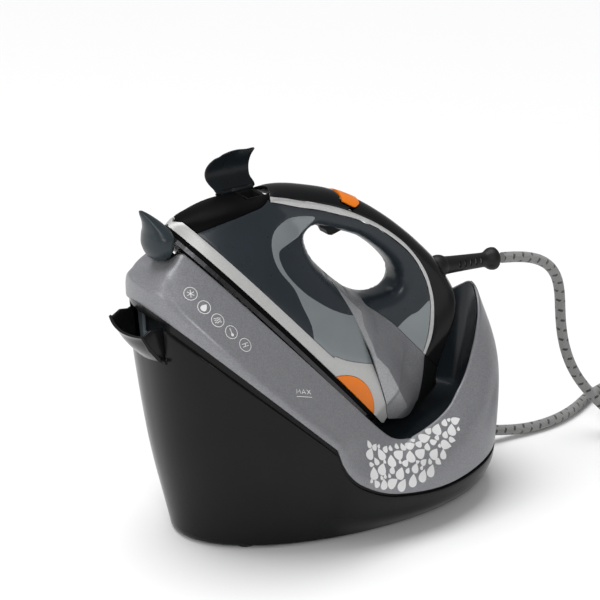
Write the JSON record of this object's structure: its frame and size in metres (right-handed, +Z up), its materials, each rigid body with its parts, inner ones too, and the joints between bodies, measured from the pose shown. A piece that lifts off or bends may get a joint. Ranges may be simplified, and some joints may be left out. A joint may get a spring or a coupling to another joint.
{
  "type": "steam generator iron",
  "caption": "Steam generator ironing station: a tapered boiler base with an inclined cradle carries a corded steam iron with a closed-loop handle, a filler flap and a toe lock lever.",
  "frame": {"origin": "centre of the footprint's bounding box on the ground, cord left out", "axes": "+X towards the iron's heel, -X towards its toe, the lock lever and the filler door; Y across, the object is symmetric about y = 0 apart from the flap, glands and switch; +Z up"},
  "size_m": [0.6188, 0.21, 0.3156],
  "materials": {
    "gloss_black": "gloss black moulded plastic",
    "satin_silver": "metallic silver lacquer on plastic, fine flake",
    "slate": "dark blue-grey moulded plastic",
    "light_grey": "light grey moulded plastic",
    "orange": "translucent orange plastic",
    "rubber": "matte black elastomer",
    "steel": "plain steel",
    "aluminium": "polished aluminium",
    "clear_plastic": "smoked translucent plastic",
    "white_plastic": "white moulded plastic",
    "green_board": "coated circuit board",
    "brass": "machined brass",
    "silicone": "dark silicone",
    "braid": "light grey woven braid with dark flecks"
  },
  "bodies": {
    "base": {"base_plate": "rubber", "base_screw_1": "steel", "base_screw_2": "steel", "base_screw_3": "steel", "base_screw_4": "steel", "base_shell": "gloss_black", "boiler": "steel", "boiler_thermostat": "brass", "coil_tie": "rubber", "control_board": "green_board", "cord_gland": "rubber", "cradle_liner": "slate", "door_pin": "steel", "feed_tube": "white_plastic", "foot_1": "rubber", "foot_2": "rubber", "foot_3": "rubber", "foot_4": "rubber", "mains_gland": "rubber", "outlet_tube": "steel", "pump": "white_plastic", "rest_pad_front": "silicone", "rest_pad_rear": "silicone", "safety_valve": "brass", "steam_cord_coil": "braid", "steam_cord_lower": "braid", "steam_cord_upper": "braid", "steam_tube": "steel", "steam_valve": "brass", "suction_tube": "white_plastic", "switch_housing": "rubber", "upper_cover": "satin_silver", "water_tank": "clear_plastic"},
    "iron": {"soleplate": "aluminium", "heat_shield": "rubber", "heater_casting": "aluminium", "lower_shroud": "light_grey", "body_shell": "slate", "rear_fairing": "satin_silver", "nose_cover": "gloss_black", "handle_cover": "gloss_black", "heel_cover": "gloss_black", "handle_trim_right": "satin_silver", "handle_trim_left": "satin_silver", "pilot_lens_right": "orange", "pilot_lens_left": "orange", "iron_tank": "clear_plastic", "iron_steam_hose": "white_plastic", "trigger_switch": "white_plastic", "filler_funnel": "rubber", "flap_pin": "steel", "trigger_pin": "steel", "cord_boot": "rubber"},
    "filler_flap_body": {"filler_flap": "slate"},
    "steam_trigger_body": {"steam_trigger": "slate"},
    "steam_button_body": {"steam_button": "orange"},
    "lock_lever_body": {"lock_lever": "slate"},
    "filler_door_body": {"filler_door": "gloss_black"},
    "power_rocker_body": {"power_rocker": "rubber"}
  },
  "joints": [
    {"name": "cradle_lift", "type": "slide", "parent": "base", "child": "iron", "axis": [0, 0, 1], "range_m": [0, 0.1]},
    {"name": "filler_flap_hinge", "type": "hinge", "parent": "iron", "child": "filler_flap_body", "pos_m": [-0.06919, 0.0165, 0.28027], "axis": [0.9989, 0, 0.0475], "range_deg": [0, 88]},
    {"name": "steam_trigger_hinge", "type": "hinge", "parent": "iron", "child": "steam_trigger_body", "pos_m": [-0.00083, 0, 0.25163], "axis": [0, 1, 0], "range_deg": [-6, 0], "stiffness_Nm_per_rad": 0.4, "springref_deg": 2.86},
    {"name": "steam_button_press", "type": "slide", "parent": "iron", "child": "steam_button_body", "axis": [-0.7431, 0, -0.6691], "range_m": [0, 0.0015], "stiffness_N_per_m": 300, "springref_m": -0.001},
    {"name": "lock_lever_hinge", "type": "hinge", "parent": "base", "child": "lock_lever_body", "pos_m": [-0.146, 0, 0.247], "axis": [0, 1, 0], "range_deg": [-25, 0]},
    {"name": "filler_door_hinge", "type": "hinge", "parent": "base", "child": "filler_door_body", "pos_m": [-0.1585, 0, 0.169], "axis": [0, 1, 0], "range_deg": [0, 35]},
    {"name": "power_rocker_hinge", "type": "hinge", "parent": "base", "child": "power_rocker_body", "pos_m": [0.006, 0.085, 0.024], "axis": [0, 0, 1], "range_deg": [-8, 0]}
  ]
}
